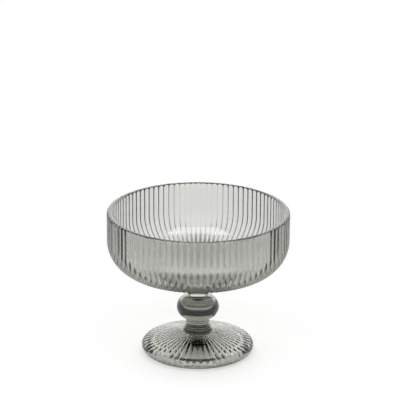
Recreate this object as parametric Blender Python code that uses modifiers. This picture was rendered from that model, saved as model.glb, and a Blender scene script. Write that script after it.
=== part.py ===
"""A short-stemmed goblet of grey pressed glass, standing on the XY plane with its axis on +Z.

Six glass pieces are stacked on one axis: a ribbed foot, hollow underneath, with a plain collar,
a double-beaded ring, a short post, a flattened ball knop, a flared neck and a wide ribbed bowl.
Units are metres. Run it with: blender --background --python part.py
"""

import math

import bpy

# The whole goblet: the bowl's straight wall takes up what the other pieces leave of the height
OVERALL_HEIGHT = 0.0895

# Foot: a shallow cone with a rounded edge and a plain collar at its top, standing on a flat ring
# round a hollow with a low upright wall and a shallow domed ceiling
FOOT_RADIUS = 0.03405
FOOT_REST_INSET = 0.00405
FOOT_EDGE_LEVEL = 0.00345
FOOT_SHOULDER_RISE = 0.0039
FOOT_SHOULDER_REACH = 0.0051
FOOT_HEIGHT = 0.0131
FOOT_HOLLOW_RADIUS = 0.0285
FOOT_HOLLOW_WALL = 0.0022
FOOT_HOLLOW_CORNER = 0.0018
FOOT_DOME_RADIUS = 0.150
COLLAR_RADIUS = 0.0092
COLLAR_TAPER = 0.0009
COLLAR_HEIGHT = 0.0015

# Ring of two beads between the collar and the post
LOWER_BEAD_RADIUS = 0.0080
LOWER_BEAD_HEIGHT = 0.0012
UPPER_BEAD_RADIUS = 0.0076
UPPER_BEAD_HEIGHT = 0.0010
BEAD_GROOVE_ANGLE = math.radians(63)

# Stem: post, knop and neck, which leans outward from the knop and flares into the bowl
POST_RADIUS = 0.0072
POST_HEIGHT = 0.0037
KNOP_RADIUS = 0.01292
KNOP_SIDE_ROUND = 0.0073
KNOP_HALF_HEIGHT = 0.0070
NECK_RADIUS = 0.0057
NECK_LEAN = math.radians(18)
NECK_FLARE_RADIUS = 0.0132

# Bowl: straight ribbed wall with a rounded rim, rounded corner, sloping underside, and a floor
# that slopes with it to a shallow dish
BOWL_RADIUS = 0.0550
WALL_THICKNESS = 0.0038
CORNER_RADIUS = 0.0201
UNDERSIDE_SLOPE = math.radians(17.3)
RIM_CROWN_WIDTH = 0.0004
RIM_ROUND_RISE = 0.0011
DISH_RADIUS = 0.0200

# Ribs: rounded, side by side, with a sharp valley between each pair. On the bowl they fade out
# underneath, and on the foot at the collar and over the shoulder. The bowl is turned half a rib
# against the foot, so that a crest of the bowl faces the front
BOWL_RIBS = 96
BOWL_RIB_DEPTH = 0.00045
UNDERSIDE_RIB_DEPTH = 0.00070
BOWL_RIB_END_RADIUS = 0.0200
BOWL_TURN = math.pi / BOWL_RIBS
FOOT_RIBS = 52
FOOT_RIB_DEPTH = 0.00045
FOOT_RIB_RUNOUT = 0.0014
FOOT_RIB_END_ANGLE = math.radians(20)
FOOT_RIB_FULL_ANGLE = math.radians(50)
POINTS_PER_RIB = 3

# Clearance between pieces that touch, and how far a cutter stands clear of what it cuts
SEAT_GAP = 0.0003
OVERCUT = 0.0050

# Mesh fineness
PLAIN_STEPS = 40
CAVITY_STEPS = 72
MERGE_DISTANCE = 0.00001
FOOT_EDGE_STEPS = 3
FOOT_DOME_STEPS = 4
FOOT_CORNER_STEPS = 2
BEAD_STEPS = 4
KNOP_STEPS = 12
FLARE_STEPS = 5
CORNER_STEPS = 5
LIP_STEPS = 2
DISH_STEPS = 3
SEARCH_ROUNDS = 60
SHOULDER_SEARCH_LOW = math.radians(20)
SHOULDER_SEARCH_HIGH = math.radians(89.9)

GLASS_COLOUR = (0.50, 0.51, 0.48, 1.0)
GLASS_ROUGHNESS = 0.03
GLASS_IOR = 1.52

OBJECT_NAME = "short_stemmed_goblet"


def clear_scene():
    for old in list(bpy.data.objects):
        bpy.data.objects.remove(old, do_unlink=True)


def new_collection(name):
    made = bpy.data.collections.new(name)
    bpy.context.scene.collection.children.link(made)
    return made


def glass(name):
    made = bpy.data.materials.new(name)
    made.use_nodes = True
    shader = made.node_tree.nodes["Principled BSDF"]
    shader.inputs["Base Color"].default_value = GLASS_COLOUR
    shader.inputs["Roughness"].default_value = GLASS_ROUGHNESS
    shader.inputs["Metallic"].default_value = 0.0
    shader.inputs["IOR"].default_value = GLASS_IOR
    shader.inputs["Transmission Weight"].default_value = 1.0
    made.diffuse_color = GLASS_COLOUR
    return made


def arc(centre, reach, rise, start, end, count):
    """Points of an elliptical arc in the profile plane, from angle start to angle end."""
    points = []
    for i in range(count + 1):
        angle = start + (end - start) * i / count
        points.append((centre[0] + reach * math.cos(angle), centre[1] + rise * math.sin(angle)))
    return points


def turned(name, profile, steps, collection):
    """A turned solid: the profile runs from the axis, down its outer side, to the axis."""
    mesh = bpy.data.meshes.new(name)
    corners = [(radius, 0.0, level) for radius, level in profile]
    mesh.from_pydata(corners, [(i, i + 1) for i in range(len(corners) - 1)], [])
    piece = bpy.data.objects.new(name, mesh)
    collection.objects.link(piece)
    screw = piece.modifiers.new("Turn", "SCREW")
    screw.axis = "Z"
    screw.angle = 2 * math.pi
    screw.steps = steps
    screw.render_steps = steps
    screw.use_merge_vertices = True
    screw.merge_threshold = MERGE_DISTANCE
    screw.use_smooth_shade = True
    return piece


def fixed(piece):
    """Turns a piece's modifiers into plain mesh, so that its points can be moved."""
    bpy.context.view_layer.update()
    seen = piece.evaluated_get(bpy.context.evaluated_depsgraph_get())
    mesh = bpy.data.meshes.new_from_object(seen)
    piece.modifiers.clear()
    piece.data = mesh
    return piece


def rib_height(angle, ribs):
    """0 in a valley and 1 on a crest: each rib is a rounded flute."""
    across = (angle * ribs / (2 * math.pi)) % 1.0
    return 1.0 - (2.0 * across - 1.0) ** 2


def ease(value, start, end):
    """0 at start and 1 at end, with a rounded change between."""
    share = min(max((value - start) / (end - start), 0.0), 1.0)
    return math.sqrt(share * (2.0 - share))


def cut_ribs(piece, ribs, valley):
    """Sinks the valleys: valley(radius, level) gives the depth and the outward normal there."""
    for point in piece.data.vertices:
        radius = math.hypot(point.co.x, point.co.y)
        if radius < MERGE_DISTANCE:
            continue
        depth, out, up = valley(radius, point.co.z)
        angle = math.atan2(point.co.y, point.co.x)
        sink = depth * (1.0 - rib_height(angle, ribs))
        shrink = (radius - sink * out) / radius
        point.co.x *= shrink
        point.co.y *= shrink
        point.co.z -= sink * up
    return piece


def hollow_out(piece, name, profile, cutters):
    """Cuts a turned hollow out of a piece, both on the same axis."""
    cutter = turned(name, profile, CAVITY_STEPS, cutters)
    cutter.hide_render = True
    cutter.display_type = "WIRE"
    cutter.parent = piece
    hollow = piece.modifiers.new("Hollow", "BOOLEAN")
    hollow.operation = "DIFFERENCE"
    hollow.solver = "EXACT"
    hollow.object = cutter
    return piece


def seat(piece, level, assembly):
    piece.location = (0.0, 0.0, level)
    piece.parent = assembly
    piece.data.materials.clear()
    piece.data.materials.append(glass(piece.name + "_glass"))
    for face in piece.data.polygons:
        face.use_smooth = True
    return piece


def foot_shoulder_angle():
    """The angle on the shoulder's ellipse where the cone from the collar runs onto it smoothly."""
    low, high = SHOULDER_SEARCH_LOW, SHOULDER_SEARCH_HIGH
    for _ in range(SEARCH_ROUNDS):
        angle = (low + high) / 2
        radius = FOOT_RADIUS - FOOT_SHOULDER_REACH * (1 - math.cos(angle))
        level = FOOT_EDGE_LEVEL + FOOT_SHOULDER_RISE * math.sin(angle)
        curve_slope = FOOT_SHOULDER_RISE / (FOOT_SHOULDER_REACH * math.tan(angle))
        cone_slope = (FOOT_HEIGHT - level) / (radius - COLLAR_RADIUS)
        low, high = (angle, high) if curve_slope > cone_slope else (low, angle)
    return angle


def make_foot(collection, cutters):
    shoulder = foot_shoulder_angle()
    shoulder_centre = (FOOT_RADIUS - FOOT_SHOULDER_REACH, FOOT_EDGE_LEVEL)
    upper = arc(shoulder_centre, FOOT_SHOULDER_REACH, FOOT_SHOULDER_RISE, shoulder, 0,
                FOOT_EDGE_STEPS)
    rib_outer, rib_outer_level = upper[0]
    slope = math.atan2(FOOT_HEIGHT - rib_outer_level, rib_outer - COLLAR_RADIUS)

    def on_cone(radius):
        return (radius, FOOT_HEIGHT - (radius - COLLAR_RADIUS) * math.tan(slope))

    inner_end = COLLAR_RADIUS + FOOT_RIB_RUNOUT
    rest_edge = (FOOT_RADIUS - FOOT_REST_INSET, FOOT_EDGE_LEVEL)
    lower = arc(rest_edge, FOOT_REST_INSET, FOOT_EDGE_LEVEL, 0, -math.pi / 2, FOOT_EDGE_STEPS)
    collar_top = FOOT_HEIGHT + COLLAR_HEIGHT
    profile = [(0.0, collar_top), (COLLAR_RADIUS - COLLAR_TAPER, collar_top)]
    profile += [(COLLAR_RADIUS, FOOT_HEIGHT), on_cone(inner_end)]
    profile += upper + lower[1:] + [(0.0, 0.0)]

    def valley(radius, level):
        if level <= FOOT_EDGE_LEVEL:
            return 0.0, 0.0, 1.0
        if radius < rib_outer:
            depth = FOOT_RIB_DEPTH * radius / rib_outer * ease(radius, COLLAR_RADIUS, inner_end)
            return depth, math.sin(slope), math.cos(slope)
        turn = math.atan2((level - shoulder_centre[1]) / FOOT_SHOULDER_RISE,
                          (radius - shoulder_centre[0]) / FOOT_SHOULDER_REACH)
        out = math.cos(turn) / FOOT_SHOULDER_REACH
        up = math.sin(turn) / FOOT_SHOULDER_RISE
        length = math.hypot(out, up)
        depth = FOOT_RIB_DEPTH * ease(turn, FOOT_RIB_END_ANGLE, FOOT_RIB_FULL_ANGLE)
        return depth, out / length, up / length

    foot = fixed(turned("foot", profile, FOOT_RIBS * POINTS_PER_RIB, collection))
    cut_ribs(foot, FOOT_RIBS, valley)

    dome_edge = FOOT_HOLLOW_RADIUS - FOOT_HOLLOW_CORNER
    dome_turn = math.pi / 2 - math.asin(dome_edge / FOOT_DOME_RADIUS)
    dome_centre = (0.0, FOOT_HOLLOW_WALL - FOOT_DOME_RADIUS * math.sin(dome_turn))
    corner = (dome_edge, FOOT_HOLLOW_WALL - FOOT_HOLLOW_CORNER)
    hollow = arc(dome_centre, FOOT_DOME_RADIUS, FOOT_DOME_RADIUS, math.pi / 2, dome_turn,
                 FOOT_DOME_STEPS)
    hollow[0] = (0.0, hollow[0][1])
    hollow += arc(corner, FOOT_HOLLOW_CORNER, FOOT_HOLLOW_CORNER, dome_turn, 0,
                  FOOT_CORNER_STEPS)
    hollow += [(FOOT_HOLLOW_RADIUS, -OVERCUT), (0.0, -OVERCUT)]
    return hollow_out(foot, "foot_hollow", hollow, cutters), collar_top


def make_ring(collection):
    height = LOWER_BEAD_HEIGHT + UPPER_BEAD_HEIGHT
    low, high = LOWER_BEAD_HEIGHT / 2, UPPER_BEAD_HEIGHT / 2
    quarter = math.pi / 2
    low_centre = (LOWER_BEAD_RADIUS - low, low)
    high_centre = (UPPER_BEAD_RADIUS - high, LOWER_BEAD_HEIGHT + high)
    profile = [(0.0, height)]
    profile += arc(high_centre, high, high, quarter, -BEAD_GROOVE_ANGLE, BEAD_STEPS)
    profile += arc(low_centre, low, low, BEAD_GROOVE_ANGLE, -quarter, BEAD_STEPS)
    profile += [(0.0, 0.0)]
    return turned("stem_ring", profile, PLAIN_STEPS, collection), height


def make_post(collection):
    profile = [(0.0, POST_HEIGHT), (POST_RADIUS, POST_HEIGHT), (POST_RADIUS, 0.0), (0.0, 0.0)]
    return turned("stem_post", profile, PLAIN_STEPS, collection), POST_HEIGHT


def make_knop(collection):
    inset = KNOP_RADIUS - KNOP_SIDE_ROUND
    top = math.acos((NECK_RADIUS - inset) / KNOP_SIDE_ROUND)
    bottom = math.acos((POST_RADIUS - inset) / KNOP_SIDE_ROUND)
    centre = KNOP_HALF_HEIGHT * math.sin(bottom)
    side = arc((inset, centre), KNOP_SIDE_ROUND, KNOP_HALF_HEIGHT, top, -bottom, KNOP_STEPS)
    profile = [(0.0, side[0][1])] + side + [(0.0, side[-1][1])]
    return turned("knop", profile, PLAIN_STEPS, collection), side[0][1]


def neck_top_radius():
    return NECK_RADIUS + NECK_FLARE_RADIUS * (math.cos(NECK_LEAN) - math.sin(UNDERSIDE_SLOPE))


def make_neck(collection):
    centre = (NECK_RADIUS + NECK_FLARE_RADIUS * math.cos(NECK_LEAN),
              -NECK_FLARE_RADIUS * math.sin(NECK_LEAN))
    top, bottom = math.pi / 2 + UNDERSIDE_SLOPE, math.pi - NECK_LEAN
    flare = arc(centre, NECK_FLARE_RADIUS, NECK_FLARE_RADIUS, top, bottom, FLARE_STEPS)
    flare[-1] = (NECK_RADIUS, 0.0)
    profile = [(0.0, flare[0][1])] + flare + [(0.0, 0.0)]
    return turned("neck", profile, PLAIN_STEPS, collection), flare[0][1]


def make_bowl(collection, cutters, level):
    corner_end = math.pi / 2 - UNDERSIDE_SLOPE
    corner_radius_at = BOWL_RADIUS - CORNER_RADIUS
    seat_radius = neck_top_radius()
    tangent_radius = corner_radius_at + CORNER_RADIUS * math.cos(corner_end)
    tangent_level = (tangent_radius - seat_radius) * math.tan(UNDERSIDE_SLOPE)
    corner = (corner_radius_at, tangent_level + CORNER_RADIUS * math.sin(corner_end))
    rim_level = OVERALL_HEIGHT - level
    rim_reach = (WALL_THICKNESS - RIM_CROWN_WIDTH) / 2
    rim_edge = (BOWL_RADIUS - rim_reach, rim_level - RIM_ROUND_RISE)

    def on_underside(radius):
        return (radius, (radius - seat_radius) * math.tan(UNDERSIDE_SLOPE))

    profile = [(0.0, rim_level)]
    profile += arc(rim_edge, rim_reach, RIM_ROUND_RISE, math.pi / 2, 0, LIP_STEPS)
    profile += arc(corner, CORNER_RADIUS, CORNER_RADIUS, 0, -corner_end, CORNER_STEPS)
    profile += [on_underside(BOWL_RIB_END_RADIUS), on_underside(seat_radius), (0.0, 0.0)]

    def valley(radius, height):
        turn = min(max(math.atan2(corner[1] - height, radius - corner[0]), 0.0), corner_end)
        rim_runout = ease(height, rim_level, rim_edge[1])
        fade = ease(radius, BOWL_RIB_END_RADIUS, tangent_radius)
        deepened = BOWL_RIB_DEPTH + (UNDERSIDE_RIB_DEPTH - BOWL_RIB_DEPTH) * turn / corner_end
        return deepened * min(rim_runout, fade), math.cos(turn), -math.sin(turn)

    bowl = fixed(turned("bowl", profile, BOWL_RIBS * POINTS_PER_RIB, collection))
    cut_ribs(bowl, BOWL_RIBS, valley)

    inside_corner = CORNER_RADIUS - WALL_THICKNESS
    lip_radius = BOWL_RADIUS - WALL_THICKNESS + rim_reach
    lip = (lip_radius, rim_edge[1])
    cavity = [(0.0, rim_level + OVERCUT), (lip_radius, rim_level + OVERCUT)]
    cavity += arc(lip, rim_reach, RIM_ROUND_RISE, math.pi / 2, math.pi, LIP_STEPS)
    cavity += arc(corner, inside_corner, inside_corner, 0, -corner_end, CORNER_STEPS)
    slope_radius, slope_level = cavity[-1]
    dish_level = slope_level - (slope_radius - DISH_RADIUS) * math.tan(UNDERSIDE_SLOPE)
    round_radius = DISH_RADIUS / math.sin(UNDERSIDE_SLOPE)
    round_centre = (0.0, dish_level + round_radius * math.cos(UNDERSIDE_SLOPE))
    bottom = -math.pi / 2
    cavity += arc(round_centre, round_radius, round_radius, bottom + UNDERSIDE_SLOPE, bottom,
                  DISH_STEPS)
    cavity[-1] = (0.0, cavity[-1][1])
    return hollow_out(bowl, "bowl_cavity", cavity, cutters)


def main():
    clear_scene()
    goblet = new_collection(OBJECT_NAME)
    cutters = new_collection("cutters")
    assembly = bpy.data.objects.new("goblet_axis", None)
    goblet.objects.link(assembly)

    foot, level = make_foot(goblet, cutters)
    seat(foot, 0.0, assembly)
    level += SEAT_GAP
    for make in (make_ring, make_post, make_knop, make_neck):
        piece, height = make(goblet)
        seat(piece, level, assembly)
        level += height + SEAT_GAP
    bowl = make_bowl(goblet, cutters, level)
    seat(bowl, level, assembly)
    bowl.rotation_euler.z = BOWL_TURN
    print(f"goblet: {2000 * BOWL_RADIUS:.1f} mm wide, {1000 * OVERALL_HEIGHT:.1f} mm high")


main()
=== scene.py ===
import math

import bmesh
import bpy
from mathutils import Matrix, Vector


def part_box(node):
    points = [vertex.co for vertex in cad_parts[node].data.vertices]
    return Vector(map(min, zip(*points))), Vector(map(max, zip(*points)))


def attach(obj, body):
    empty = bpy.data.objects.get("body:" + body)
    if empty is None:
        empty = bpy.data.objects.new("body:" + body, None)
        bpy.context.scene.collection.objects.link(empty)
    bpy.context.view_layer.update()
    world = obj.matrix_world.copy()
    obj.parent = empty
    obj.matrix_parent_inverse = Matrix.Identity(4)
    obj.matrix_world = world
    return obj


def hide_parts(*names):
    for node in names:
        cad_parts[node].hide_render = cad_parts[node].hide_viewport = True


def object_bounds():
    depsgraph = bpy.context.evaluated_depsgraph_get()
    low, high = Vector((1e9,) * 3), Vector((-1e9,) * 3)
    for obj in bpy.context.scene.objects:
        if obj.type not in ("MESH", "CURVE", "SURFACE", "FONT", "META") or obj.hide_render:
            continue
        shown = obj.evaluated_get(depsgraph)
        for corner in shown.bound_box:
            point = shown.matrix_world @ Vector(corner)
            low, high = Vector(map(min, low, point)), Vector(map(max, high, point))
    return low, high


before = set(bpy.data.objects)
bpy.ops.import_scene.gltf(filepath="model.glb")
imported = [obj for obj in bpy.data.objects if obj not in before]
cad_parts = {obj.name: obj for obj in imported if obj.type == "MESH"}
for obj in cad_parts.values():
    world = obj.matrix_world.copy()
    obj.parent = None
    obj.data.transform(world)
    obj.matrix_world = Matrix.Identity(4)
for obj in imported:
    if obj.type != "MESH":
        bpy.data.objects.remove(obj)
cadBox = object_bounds()
mm = 0.001
onAxis = 1e-6  # mm, a profile point nearer than this is on the axis
print("frame: loaded", len(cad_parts), "solids")


# Small helpers

def hexColour(text):
    # sRGB hex to the linear values that the nodes work in
    values = []
    for i in (0, 2, 4):
        part = int(text[i:i + 2], 16) / 255
        values.append(part / 12.92 if part <= 0.04045 else ((part + 0.055) / 1.055) ** 2.4)
    return (*values, 1.0)


def addNode(tree, kind, settings=None, links=None):
    # settings are the node's own fields, links are sockets or plain values for its inputs
    node = tree.nodes.new(kind)
    for field, value in (settings or {}).items():
        setattr(node, field, value)
    for socket, value in (links or {}).items():
        if isinstance(value, bpy.types.NodeSocket):
            tree.links.new(value, node.inputs[socket])
        else:
            node.inputs[socket].default_value = value
    return node


def newMaterial(name):
    made = bpy.data.materials.new(name)
    made.use_nodes = True
    made.node_tree.nodes.clear()
    return made, made.node_tree


def arc(centre, reach, rise, start, end, count):
    # points of an elliptical arc in the profile plane, angles in degrees
    points = []
    for i in range(count + 1):
        angle = math.radians(start + (end - start) * i / count)
        points.append((centre[0] + reach * math.cos(angle), centre[1] + rise * math.sin(angle)))
    return points


def line(start, end, count):
    # points after start, up to end
    points = []
    for i in range(1, count + 1):
        share = i / count
        points.append((start[0] + (end[0] - start[0]) * share, start[1] + (end[1] - start[1]) * share))
    return points


def ease(value, start, end):
    # 0 at start and 1 at end, rounded off
    share = min(max((value - start) / (end - start), 0.0), 1.0)
    return math.sqrt(share * (2.0 - share))


# The goblet: one closed body of glass, as the real one is fused, in millimetres.
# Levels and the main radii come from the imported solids.

def nodeSpan(name):
    low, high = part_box(name)
    return low.z / mm, high.z / mm, (high.x - low.x) / 2 / mm


footShape = {
    "restInset": 4.05,  # the flat resting ring stops this far inside the edge
    "edgeLevel": 3.45,  # height of the widest point
    "hollowRadius": 28.5,  # the underside is hollow inside a flat resting ring
    "hollowWall": 2.2,  # its wall is upright up to here
    "hollowCorner": 1.8,
    "domeRadius": 150.0,  # and its ceiling is a shallow dome
    "shoulderRise": 3.9,
    "shoulderReach": 5.1,
    "collarRadius": 9.2,
    "collarTaper": 0.9,
    "collarHeight": 1.5,
    "ribs": 52,
    "ribDepth": 0.36,
    "ribRunout": 1.4,  # at the collar
    "ribOuterFade": (20.0, 50.0),  # degrees up the shoulder, where the ribs run out
    "edgeSteps": 7,
    "domeSteps": 20,
    "cornerSteps": 6,
    "flatSteps": 2,
    "shoulderSteps": 14,
    "coneSteps": 9,
    "runoutSteps": 6,
    "collarSteps": 3,
    "searchAngles": (20.0, 89.9),  # degrees, the cone meets the shoulder between these
    "searchRounds": 60,
}

stemShape = {
    "lowerBead": (8.0, 0.6),  # radius of the ring, radius of its round edge
    "upperBead": (7.6, 0.5),
    "beadGroove": 63.0,
    "postRadius": 7.2,
    "knopSideRound": 7.3,
    "knopHalfHeight": 7.0,
    "neckRadius": 5.7,  # where it meets the knop
    "neckLean": 18.0,  # degrees, it widens from the knop on
    "neckFlare": 13.2,
    "beadSteps": 10,
    "postSteps": 4,
    "knopSteps": 48,
    "neckSteps": 16,
    "columns": 144,
}

bowlShape = {
    "radius": 55.0,  # over the crests of the ribs
    "wallHeight": 17.65,
    "wallThickness": 3.8,
    "cornerRadius": 20.1,
    "undersideSlope": 17.3,
    "lipRise": 1.1,  # the rim is round, fire polished
    "floorRound": 20.0,  # radius of the round middle of the inner floor
    "ribs": 96,
    "ribDepth": 0.62,
    "ribDepthBelow": 0.80,  # under the bowl
    "ribFade": (14.0, 34.0),  # radii between which the ribs fade out under the bowl
    "ribDeepAngle": 45.0,  # degrees round the corner, where they are as deep as under the bowl
    "undersideSteps": 8,
    "cornerSteps": 18,
    "wallSteps": 3,
    "lipSteps": 9,
    "insideColumns": 192,
    "insideWallSteps": 4,
    "insideCornerSteps": 28,
    "floorSteps": 6,
    "dishSteps": 12,
}

# Places across half a rib, from its crest to the groove, closer together in the groove
ribForm = {
    "crest": 0.93,  # share of the rib that is its round crest, the rest is the round groove
    "places": (0.0, 0.28, 0.56, 0.80, 0.93, 0.965, 1.0),
}


def plainStations(points):
    return [(radius, level, 0.0, 0.0, 0.0) for radius, level in points]


def ribColumns(ribs, turn):
    # shares of a full turn and places across the rib
    half = ribForm["places"]
    across = [-place for place in reversed(half)][:-1] + list(half[:-1])
    return [((rib + turn + place / 2) / ribs, abs(place)) for rib in range(ribs) for place in across]


def plainColumns(count):
    return [(i / count, 0.0) for i in range(count)]


def ribSink(place):
    # 0 on the crest and 1 in the groove, with one slope where crest and groove meet
    crest = ribForm["crest"]
    if place <= crest:
        return place ** 2 / crest
    return 1.0 - (1.0 - place) ** 2 / (1.0 - crest)


def shoulderAngle(shape, radius, height):
    # where the cone from the collar runs smoothly onto the shoulder
    low, high = shape["searchAngles"]
    for _ in range(shape["searchRounds"]):
        angle = (low + high) / 2
        turn = math.radians(angle)
        reachRadius = radius - shape["shoulderReach"] * (1 - math.cos(turn))
        level = shape["edgeLevel"] + shape["shoulderRise"] * math.sin(turn)
        curveSlope = shape["shoulderRise"] / (shape["shoulderReach"] * math.tan(turn))
        coneSlope = (height - level) / (reachRadius - shape["collarRadius"])
        low, high = (angle, high) if curveSlope > coneSlope else (low, angle)
    return angle


def footSections():
    shape = footShape
    bottom, top, radius = nodeSpan("foot")
    height = top - shape["collarHeight"]
    shoulder = shoulderAngle(shape, radius, height)
    reach, rise = shape["shoulderReach"], shape["shoulderRise"]
    shoulderCentre = (radius - reach, shape["edgeLevel"])
    upper = arc(shoulderCentre, reach, rise, 0, shoulder, shape["shoulderSteps"])
    ribOuter, ribOuterLevel = upper[-1]
    collar = (shape["collarRadius"], height)
    slope = math.atan2(height - ribOuterLevel, ribOuter - collar[0])
    restEdge = (radius - shape["restInset"], shape["edgeLevel"])
    lower = arc(restEdge, shape["restInset"], shape["edgeLevel"], -90, 0, shape["edgeSteps"])
    wallTop = bottom + shape["hollowWall"]
    turnIn = shape["hollowCorner"]
    dome = shape["domeRadius"]
    domeEdge = shape["hollowRadius"] - turnIn
    domeTurn = math.degrees(math.asin(domeEdge / dome))
    domeCentre = (0.0, wallTop - dome * math.cos(math.radians(domeTurn)))
    hollow = arc(domeCentre, dome, dome, 90, 90 - domeTurn, shape["domeSteps"])
    hollow[0] = (0.0, hollow[0][1])
    corner = (domeEdge, wallTop - turnIn)
    hollow += arc(corner, turnIn, turnIn, 90 - domeTurn, 0, shape["cornerSteps"])[1:]
    hollow += line(hollow[-1], (shape["hollowRadius"], bottom), shape["flatSteps"])
    hollow += line(hollow[-1], lower[0], shape["flatSteps"])
    underside = plainStations(hollow)
    edge = plainStations(lower[1:])
    for i, (r, level) in enumerate(upper[1:], 1):
        turn = shoulder * i / shape["shoulderSteps"]
        depth = shape["ribDepth"] * ease(turn, *shape["ribOuterFade"])
        out = math.cos(math.radians(turn)) / reach
        up = math.sin(math.radians(turn)) / rise
        size = math.hypot(out, up)
        edge.append((r, level, depth, out / size, up / size))

    innerEnd = collar[0] + shape["ribRunout"]
    cone, runout = shape["coneSteps"], shape["runoutSteps"]
    radii = [ribOuter + (innerEnd - ribOuter) * i / cone for i in range(1, cone + 1)]
    radii += [innerEnd - shape["ribRunout"] * i / runout for i in range(1, runout)]
    ribbed = []
    for r in radii:
        depth = shape["ribDepth"] * r / ribOuter * ease(r, collar[0], innerEnd)
        level = height - (r - collar[0]) * math.tan(slope)
        ribbed.append((r, level, depth, math.sin(slope), math.cos(slope)))
    collarTop = (collar[0] - shape["collarTaper"], top)
    collarSide = plainStations([collar] + line(collar, collarTop, shape["collarSteps"]))
    plain = plainColumns(stemShape["columns"])
    return [
        (plain, underside),
        (ribColumns(shape["ribs"], 0.5), edge + ribbed),
        (plain, collarSide),
    ]


def stemSections():
    shape = stemShape
    ringBottom, ringTop, _ = nodeSpan("stem_ring")
    lowRadius, low = shape["lowerBead"]
    highRadius, high = shape["upperBead"]
    groove = shape["beadGroove"]
    points = arc((lowRadius - low, ringBottom + low), low, low, -90, groove, shape["beadSteps"])
    points += arc((highRadius - high, ringTop - high), high, high, -groove, 90, shape["beadSteps"])

    postBottom, postTop, _ = nodeSpan("stem_post")
    post = (shape["postRadius"], postBottom)
    points += [post] + line(post, (shape["postRadius"], postTop), shape["postSteps"])

    knopBottom, _, knopRadius = nodeSpan("knop")
    side, half = shape["knopSideRound"], shape["knopHalfHeight"]
    inset = knopRadius - side
    under = math.degrees(math.acos((shape["postRadius"] - inset) / side))
    over = math.degrees(math.acos((shape["neckRadius"] - inset) / side))
    knopCentre = (inset, knopBottom + half * math.sin(math.radians(under)))
    points += arc(knopCentre, side, half, -under, over, shape["knopSteps"])

    neckBottom, _, _ = nodeSpan("neck")
    flare = shape["neckFlare"]
    lean = math.radians(shape["neckLean"])
    flareCentre = (shape["neckRadius"] + flare * math.cos(lean), neckBottom - flare * math.sin(lean))
    flareEnd = 90 + bowlShape["undersideSlope"]
    points += arc(flareCentre, flare, flare, 180 - shape["neckLean"], flareEnd, shape["neckSteps"])
    return [(plainColumns(shape["columns"]), plainStations(points))]


def bowlSections():
    shape = bowlShape
    bottom, rim, _ = nodeSpan("bowl")
    slope = shape["undersideSlope"]
    cornerEnd = 90 - slope
    tilt = math.radians(slope)
    lean = math.radians(stemShape["neckLean"])
    seat = stemShape["neckRadius"] + stemShape["neckFlare"] * (math.cos(lean) - math.sin(tilt))
    outer = shape["cornerRadius"]
    corner = (shape["radius"] - outer, rim - shape["wallHeight"])
    rise = shape["lipRise"]
    halfWall = shape["wallThickness"] / 2
    lipCentre = (shape["radius"] - halfWall, rim - rise)

    curve = arc(corner, outer, outer, -cornerEnd, 0, shape["cornerSteps"])
    outside = line((seat, bottom), curve[0], shape["undersideSteps"]) + curve[1:]
    outside += line(curve[-1], (shape["radius"], rim - rise), shape["wallSteps"])
    ribbed = []
    for radius, level in outside:
        turn = math.atan2(corner[1] - level, radius - corner[0])
        turn = min(max(turn, 0.0), math.radians(cornerEnd))
        below = min(turn / math.radians(shape["ribDeepAngle"]), 1.0)
        depth = shape["ribDepth"] + (shape["ribDepthBelow"] - shape["ribDepth"]) * below
        depth *= ease(radius, *shape["ribFade"])
        ribbed.append((radius, level, depth, math.cos(turn), -math.sin(turn)))
    for i in range(1, shape["lipSteps"]):
        angle = math.radians(90 * i / shape["lipSteps"])
        radius = lipCentre[0] + halfWall * math.cos(angle)
        level = lipCentre[1] + rise * math.sin(angle)
        ribbed.append((radius, level, shape["ribDepth"] * math.cos(angle), 1.0, 0.0))

    wall = shape["radius"] - shape["wallThickness"]
    inner = outer - shape["wallThickness"]
    inside = arc(lipCentre, halfWall, rise, 90, 180, shape["lipSteps"])
    inside += line((wall, rim - rise), (wall, corner[1]), shape["insideWallSteps"])
    inside += arc(corner, inner, inner, 0, -cornerEnd, shape["insideCornerSteps"])[1:]
    floorEdge = inside[-1]
    floorFall = (floorEdge[0] - shape["floorRound"]) * math.tan(tilt)
    dish = (shape["floorRound"], floorEdge[1] - floorFall)
    inside += line(floorEdge, dish, shape["floorSteps"])
    dishRadius = dish[0] / math.sin(tilt)
    dishCentre = (0.0, dish[1] + dishRadius * math.cos(tilt))
    inside += arc(dishCentre, dishRadius, dishRadius, slope - 90, -90, shape["dishSteps"])[1:]
    return [
        (ribColumns(shape["ribs"], 0.0), ribbed),
        (plainColumns(shape["insideColumns"]), plainStations(inside)),
    ]


def ringPoints(columns, station):
    radius, level, depth, out, up = station
    points = []
    for share, place in columns:
        angle = 2 * math.pi * share
        sink = depth * ribSink(place)
        reach = radius - sink * out
        points.append(Vector((reach * math.cos(angle), reach * math.sin(angle), level - sink * up)) * mm)
    return points


def joinRings(mesh, first, second, firstColumns, secondColumns):
    # a strip of faces between two rings, which may have different numbers of points
    a, b = len(first), len(second)
    if a == 1 or b == 1:
        ring, tip = (second, first[0]) if a == 1 else (first, second[0])
        for i in range(len(ring)):
            mesh.faces.new((ring[i], ring[(i + 1) % len(ring)], tip))
        return
    if a == b:
        for i in range(a):
            n = (i + 1) % a
            mesh.faces.new((first[i], first[n], second[n], second[i]))
        return
    firstShares = [share for share, _ in firstColumns] + [1.0 + firstColumns[0][0]]
    secondShares = [share for share, _ in secondColumns] + [1.0 + secondColumns[0][0]]
    i = j = 0
    while i < a or j < b:
        if j >= b or (i < a and firstShares[i + 1] <= secondShares[j + 1]):
            mesh.faces.new((first[i % a], first[(i + 1) % a], second[j % b]))
            i += 1
        else:
            mesh.faces.new((first[i % a], second[(j + 1) % b], second[j % b]))
            j += 1


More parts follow.
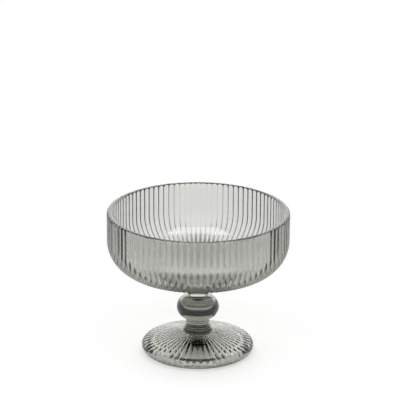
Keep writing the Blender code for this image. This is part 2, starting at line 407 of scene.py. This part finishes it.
def makeGlassBody(name):
    mesh = bmesh.new()
    last = None
    lastColumns = None
    for columns, stations in footSections() + stemSections() + bowlSections():
        for station in stations:
            if station[0] < onAxis:
                ring = [mesh.verts.new((0.0, 0.0, station[1] * mm))]
            else:
                ring = [mesh.verts.new(p) for p in ringPoints(columns, station)]
            if last is not None:
                joinRings(mesh, last, ring, lastColumns, columns)
            last, lastColumns = ring, columns
    bmesh.ops.recalc_face_normals(mesh, faces=mesh.faces)
    for face in mesh.faces:
        face.smooth = True
    data = bpy.data.meshes.new(name)
    mesh.to_mesh(data)
    mesh.free()
    body = bpy.data.objects.new(name, data)
    bpy.context.scene.collection.objects.link(body)
    return body


# Smoked soda-lime glass, pressed in a ribbed mould and fire polished: clear and glossy, grey with
# a slight green warmth that deepens with thickness, and a faint waviness left by the fire.

glassLook = {
    "tint": "BDBEB6",  # colour that passes, over a depth set by the density
    "density": 190.0,  # per metre
    "ior": 1.52,
    "roughness": 0.0,
    "waveSize": 7.0,  # mm between waves of the fire-polished skin
    "waveHeight": 0.01,  # mm
    "shadowTint": "F4F4F3",  # where lamps shine straight through
    "shadowEdge": "CCCCC8",  # where a steep side bends the light away
}


def smokedPressedGlass():
    look = glassLook
    made, tree = newMaterial("smokedPressedGlass")
    place = addNode(tree, "ShaderNodeTexCoord")
    wave = addNode(tree, "ShaderNodeTexNoise", None, {
        "Vector": place.outputs["Object"],
        "Scale": 1 / (look["waveSize"] * mm),
        "Detail": 1.0,
    })
    skin = addNode(tree, "ShaderNodeBump", None, {
        "Strength": 1.0,
        "Distance": look["waveHeight"] * mm,
        "Height": wave.outputs["Fac"],
    })
    glass = addNode(tree, "ShaderNodeBsdfPrincipled", None, {
        "Base Color": hexColour("FFFFFF"),
        "Roughness": look["roughness"],
        "IOR": look["ior"],
        "Transmission Weight": 1.0,
        "Normal": skin.outputs["Normal"],
    })
    # lamps shine through with a soft grey shadow, darker along steep sides
    steep = addNode(tree, "ShaderNodeLayerWeight", None, {"Blend": 0.5})
    shade = addNode(tree, "ShaderNodeMix", {"data_type": "RGBA"}, {
        "Factor": steep.outputs["Facing"],
        6: hexColour(look["shadowTint"]),
        7: hexColour(look["shadowEdge"]),
    })
    through = addNode(tree, "ShaderNodeBsdfTransparent", None, {"Color": shade.outputs[2]})
    rays = addNode(tree, "ShaderNodeLightPath")
    mixed = addNode(tree, "ShaderNodeMixShader", None, {
        "Fac": rays.outputs["Is Shadow Ray"],
        1: glass.outputs["BSDF"],
        2: through.outputs["BSDF"],
    })
    smoke = addNode(tree, "ShaderNodeVolumeAbsorption", None, {
        "Color": hexColour(look["tint"]),
        "Density": look["density"],
    })
    addNode(tree, "ShaderNodeOutputMaterial", None, {
        "Surface": mixed.outputs["Shader"],
        "Volume": smoke.outputs["Volume"],
    })
    return made


goblet = makeGlassBody("gobletGlass")
goblet.data.materials.append(smokedPressedGlass())
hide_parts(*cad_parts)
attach(goblet, "root")
print("glass:", len(goblet.data.polygons), "faces")


# Studio: a pale table in an even white room, a softbox overhead and a soft panel behind. The camera
# and the glass see the same white all round, and the table keeps the goblet's shadow.

studio = {
    "tableSize": (0.44, 0.70),  # m
    "tableDrop": 0.0002,  # m, so that the glass doesn't share its face with the table
    "tableColour": "DADADA",
    "whiteGlow": 0.43,  # what is seen on top of the light that falls on the table, white in all
    "roomLight": 0.3,
}

softboxes = {
    "topSoftbox": {
        "place": (0.0, -0.29, 1.0),  # m
        "aim": (0.0, -0.29, 0.0),
        "size": (0.92, 0.58),
        "power": 5.5,  # W
    },
    "backPanel": {
        "place": (0.0, 1.1, 0.53),
        "aim": (0.0, 0.0, 0.0),
        "size": (1.8, 0.75),
        "power": 6.5,
    },
}


def seenRays(tree):
    # 1 for what the camera sees, straight or in the glass, so that the glass shows the same background
    rays = addNode(tree, "ShaderNodeLightPath")
    inGlass = addNode(tree, "ShaderNodeMath", {"operation": "MAXIMUM"}, {
        0: rays.outputs["Is Glossy Ray"],
        1: rays.outputs["Is Transmission Ray"],
    })
    seen = addNode(tree, "ShaderNodeMath", {"operation": "MAXIMUM"}, {
        0: rays.outputs["Is Camera Ray"],
        1: inGlass.outputs[0],
    })
    return seen.outputs[0]


def paleTable():
    made, tree = newMaterial("paleTable")
    glow = addNode(tree, "ShaderNodeMath", {"operation": "MULTIPLY"}, {
        0: seenRays(tree),
        1: studio["whiteGlow"],
    })
    shine = addNode(tree, "ShaderNodeEmission", None, {"Strength": glow.outputs[0]})
    matt = addNode(tree, "ShaderNodeBsdfDiffuse", None, {"Color": hexColour(studio["tableColour"])})
    both = addNode(tree, "ShaderNodeAddShader", None, {0: shine.outputs[0], 1: matt.outputs[0]})
    addNode(tree, "ShaderNodeOutputMaterial", None, {"Surface": both.outputs[0]})
    return made


def addStage(name, points, faces, material):
    data = bpy.data.meshes.new(name)
    data.from_pydata(points, [], faces)
    data.materials.append(material)
    made = bpy.data.objects.new(name, data)
    bpy.context.scene.collection.objects.link(made)


def makeTable():
    level = -studio["tableDrop"]
    x, y = (size / 2 for size in studio["tableSize"])
    corners = [(-x, -y, level), (x, -y, level), (x, y, level), (-x, y, level)]
    addStage("table", corners, [(0, 1, 2, 3)], paleTable())


def makeRoom():
    world = bpy.data.worlds.new("studioRoom")
    bpy.context.scene.world = world
    world.use_nodes = True
    tree = world.node_tree
    tree.nodes.clear()
    level = addNode(tree, "ShaderNodeMath", {"operation": "MAXIMUM"}, {
        0: seenRays(tree),
        1: studio["roomLight"],
    })
    shine = addNode(tree, "ShaderNodeBackground", None, {
        "Color": hexColour("FFFFFF"),
        "Strength": level.outputs[0],
    })
    addNode(tree, "ShaderNodeOutputWorld", None, {"Surface": shine.outputs[0]})


def makeSoftbox(name):
    box = softboxes[name]
    lamp = bpy.data.lights.new(name, "AREA")
    lamp.shape = "RECTANGLE"
    lamp.size, lamp.size_y = box["size"]
    lamp.energy = box["power"]
    made = bpy.data.objects.new(name, lamp)
    place = Vector(box["place"])
    turn = (Vector(box["aim"]) - place).to_track_quat("-Z", "Y").to_matrix().to_4x4()
    made.matrix_world = Matrix.Translation(place) @ turn
    bpy.context.scene.collection.objects.link(made)


makeTable()
makeRoom()
for boxName in softboxes:
    makeSoftbox(boxName)
print("studio: table, room and softboxes")


# Camera at the photo's angle. It looks at a point a little above the rim's centre.

shot = {
    "distance": 1.40,  # m from the rim's centre
    "pitch": 19.66,  # degrees down
    "roll": 0.37,  # degrees
    "lens": 210.4,  # mm
    "sensor": 36.0,  # mm
    "aimRight": 0.9,  # mm, which puts the rim's centre a little left of the middle
    "aimUp": 6.62,
}


def makeCamera():
    pitch = math.radians(shot["pitch"])
    back = Vector((0.0, -math.cos(pitch), math.sin(pitch)))
    right = Vector((1.0, 0.0, 0.0))
    up = back.cross(right)
    rim = Vector((0.0, 0.0, cadBox[1].z))
    place = rim + back * shot["distance"]
    aim = rim + (right * shot["aimRight"] + up * shot["aimUp"]) * mm
    turn = (aim - place).to_track_quat("-Z", "Y").to_matrix().to_4x4()
    data = bpy.data.cameras.new("photoCamera")
    data.sensor_width = shot["sensor"]
    data.lens = shot["lens"]
    camera = bpy.data.objects.new("photoCamera", data)
    roll = Matrix.Rotation(math.radians(shot["roll"]), 4, "Z")
    camera.matrix_world = Matrix.Translation(place) @ turn @ roll
    bpy.context.scene.collection.objects.link(camera)
    bpy.context.scene.camera = camera


makeCamera()
bpy.context.scene.view_settings.view_transform = "Standard"
print("camera: set")
